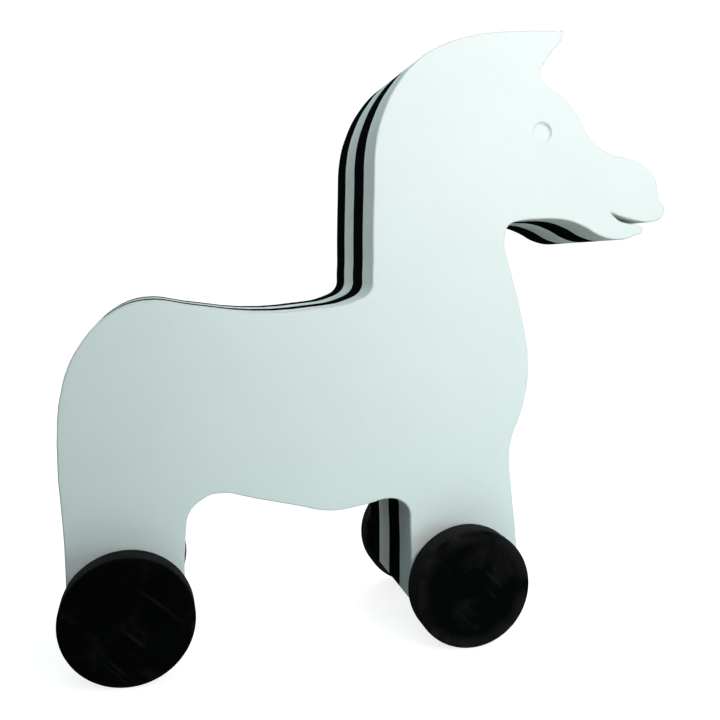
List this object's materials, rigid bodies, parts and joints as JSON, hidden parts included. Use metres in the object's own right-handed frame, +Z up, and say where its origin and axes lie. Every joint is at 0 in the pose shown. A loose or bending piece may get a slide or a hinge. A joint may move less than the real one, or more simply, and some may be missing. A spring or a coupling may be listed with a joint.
{
  "type": "ride-on toy",
  "caption": "Foam ride-on toy in the outline of a zebra: glued boards whose edges make stripes along the back, rolling on small disc wheels.",
  "frame": {"origin": "on the floor under the middle of the toy's length, in its middle plane", "axes": "+X towards the head, +Y towards the toy's left side, +Z up"},
  "size_m": [0.6292, 0.2222, 0.6314],
  "materials": {
    "white_foam": "matt closed-cell foam sheet, faintly mint white",
    "black_foam": "matt closed-cell foam sheet, black",
    "wheel_foam": "dense black foam rubber, matt with a slight sheen",
    "steel": "zinc-plated steel",
    "nylon": "natural nylon"
  },
  "bodies": {
    "body": {"right_outer_board": "white_foam", "right_inner_board": "black_foam", "left_inner_board": "white_foam", "left_outer_board": "black_foam", "rear_axle": "steel", "rear_axle_sleeve": "nylon", "front_axle": "steel", "front_axle_sleeve": "nylon", "rear_right_bush": "nylon", "rear_right_thrust_washer": "nylon", "rear_right_nut_washer": "steel", "rear_right_nut": "steel", "rear_left_bush": "nylon", "rear_left_thrust_washer": "nylon", "rear_left_nut_washer": "steel", "rear_left_nut": "steel", "front_right_bush": "nylon", "front_right_thrust_washer": "nylon", "front_right_nut_washer": "steel", "front_right_nut": "steel", "front_left_bush": "nylon", "front_left_thrust_washer": "nylon", "front_left_nut_washer": "steel", "front_left_nut": "steel"},
    "rear_right_wheel": {"rear_right_hub": "nylon", "rear_right_wheel_core": "wheel_foam", "rear_right_wheel_face": "wheel_foam"},
    "rear_left_wheel": {"rear_left_hub": "nylon", "rear_left_wheel_core": "wheel_foam", "rear_left_wheel_face": "wheel_foam"},
    "front_right_wheel": {"front_right_hub": "nylon", "front_right_wheel_core": "wheel_foam", "front_right_wheel_face": "wheel_foam"},
    "front_left_wheel": {"front_left_hub": "nylon", "front_left_wheel_core": "wheel_foam", "front_left_wheel_face": "wheel_foam"}
  },
  "joints": [
    {"name": "rear_right_wheel_spin", "type": "hinge", "parent": "body", "child": "rear_right_wheel", "pos_m": [-0.25235, -0.09765, 0.0625], "axis": [0, 1, 0], "continuous": true},
    {"name": "rear_left_wheel_spin", "type": "hinge", "parent": "body", "child": "rear_left_wheel", "pos_m": [-0.25235, 0.09765, 0.0625], "axis": [0, 1, 0], "continuous": true},
    {"name": "front_right_wheel_spin", "type": "hinge", "parent": "body", "child": "front_right_wheel", "pos_m": [0.08915, -0.09765, 0.0625], "axis": [0, 1, 0], "continuous": true},
    {"name": "front_left_wheel_spin", "type": "hinge", "parent": "body", "child": "front_left_wheel", "pos_m": [0.08915, 0.09765, 0.0625], "axis": [0, 1, 0], "continuous": true}
  ]
}
